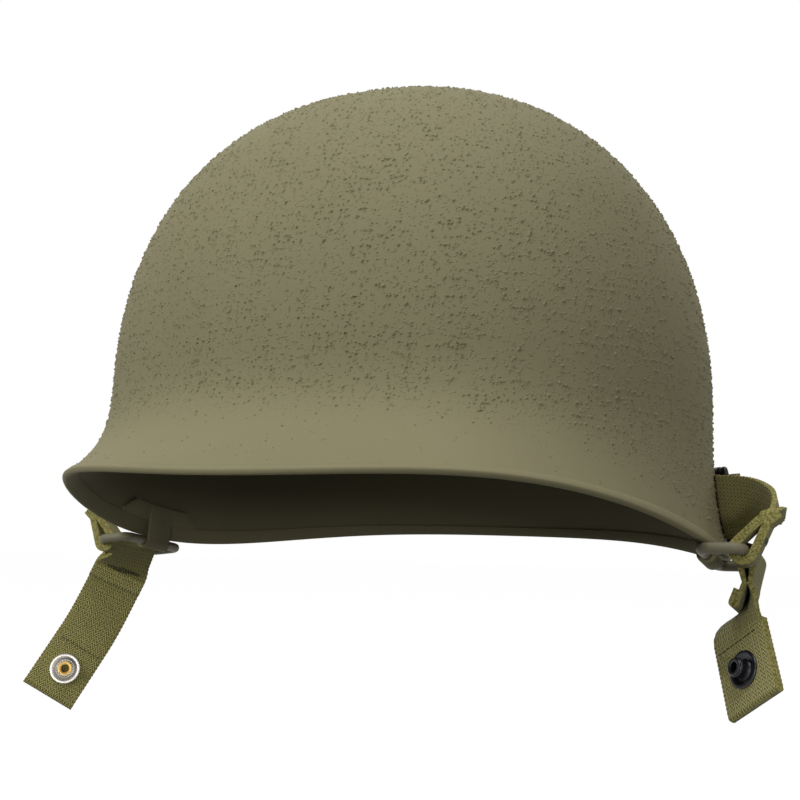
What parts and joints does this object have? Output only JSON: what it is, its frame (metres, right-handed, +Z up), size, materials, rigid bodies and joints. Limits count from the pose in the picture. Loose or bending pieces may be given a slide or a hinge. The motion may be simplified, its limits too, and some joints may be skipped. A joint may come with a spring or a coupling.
{
  "type": "steel pot helmet",
  "caption": "Pressed steel pot helmet shell with a crimped rim band, swivel wire bales, webbing snap straps with studs and a buckled chin strap stowed round its back.",
  "frame": {"origin": "on the middle plane, level with the lowest point of the rim and above the middle of the head, where the head and liner go in", "axes": "-Y towards the visor, +X towards the wearer's left, +Z up to the crown"},
  "size_m": [0.307, 0.2843, 0.2493],
  "materials": {
    "olive_paint": "matte, with cork grit",
    "dark_olive_paint": "matte",
    "webbing": "herringbone woven cotton",
    "thread": "sewn thread",
    "brass": "worn",
    "nickel_plate": "worn satin",
    "blackened_steel": "satin black",
    "blackened_brass": "satin black"
  },
  "bodies": {
    "helmet": {"steel_shell": "olive_paint", "rim_band": "olive_paint", "chin_strap_short": "webbing", "chin_strap_long": "webbing", "chin_strap_tip": "blackened_brass", "buckle_frame": "blackened_brass", "hook_plate": "blackened_brass", "hook_bartack": "thread", "left_bale_bracket": "olive_paint", "right_bale_bracket": "olive_paint"},
    "left_bale": {"left_bale": "dark_olive_paint", "left_chin_bartack": "thread"},
    "left_snap": {"left_snap_strap": "webbing", "left_snap_stud": "blackened_steel", "left_snap_eyelet": "blackened_steel", "left_snap_bartack": "thread", "left_tab_stitching": "thread"},
    "right_bale": {"right_bale": "dark_olive_paint", "right_chin_bartack": "thread"},
    "right_snap": {"right_snap_strap": "webbing", "right_snap_stud": "nickel_plate", "right_snap_eyelet": "brass", "right_snap_bartack": "thread", "right_tab_stitching": "thread"},
    "clamp": {"buckle_clamp": "blackened_brass"}
  },
  "joints": [
    {"name": "left_bale_hinge", "type": "hinge", "parent": "helmet", "child": "left_bale", "pos_m": [0.1176, -0.014, 0.00173], "axis": [0, 0.9858, -0.168], "range_deg": [-14, 120], "deforming": ["chin_strap_short"]},
    {"name": "left_snap_hinge", "type": "hinge", "parent": "left_bale", "child": "left_snap", "pos_m": [0.1306, -0.01395, 0.00204], "axis": [0, 0.9858, -0.168], "range_deg": [-45, 40]},
    {"name": "right_bale_hinge", "type": "hinge", "parent": "helmet", "child": "right_bale", "pos_m": [-0.1176, -0.002, -0.00009], "axis": [0, -0.9905, 0.1374], "range_deg": [-18, 120], "deforming": ["chin_strap_long"]},
    {"name": "right_snap_hinge", "type": "hinge", "parent": "right_bale", "child": "right_snap", "pos_m": [-0.1305, -0.00222, -0.0017], "axis": [0, -0.9905, 0.1374], "range_deg": [-45, 40]},
    {"name": "buckle_clamp_hinge", "type": "hinge", "parent": "helmet", "child": "clamp", "pos_m": [0.11363, 0.04559, 0.02118], "axis": [0.126, 0.0787, -0.9889], "range_deg": [0, 75]}
  ]
}
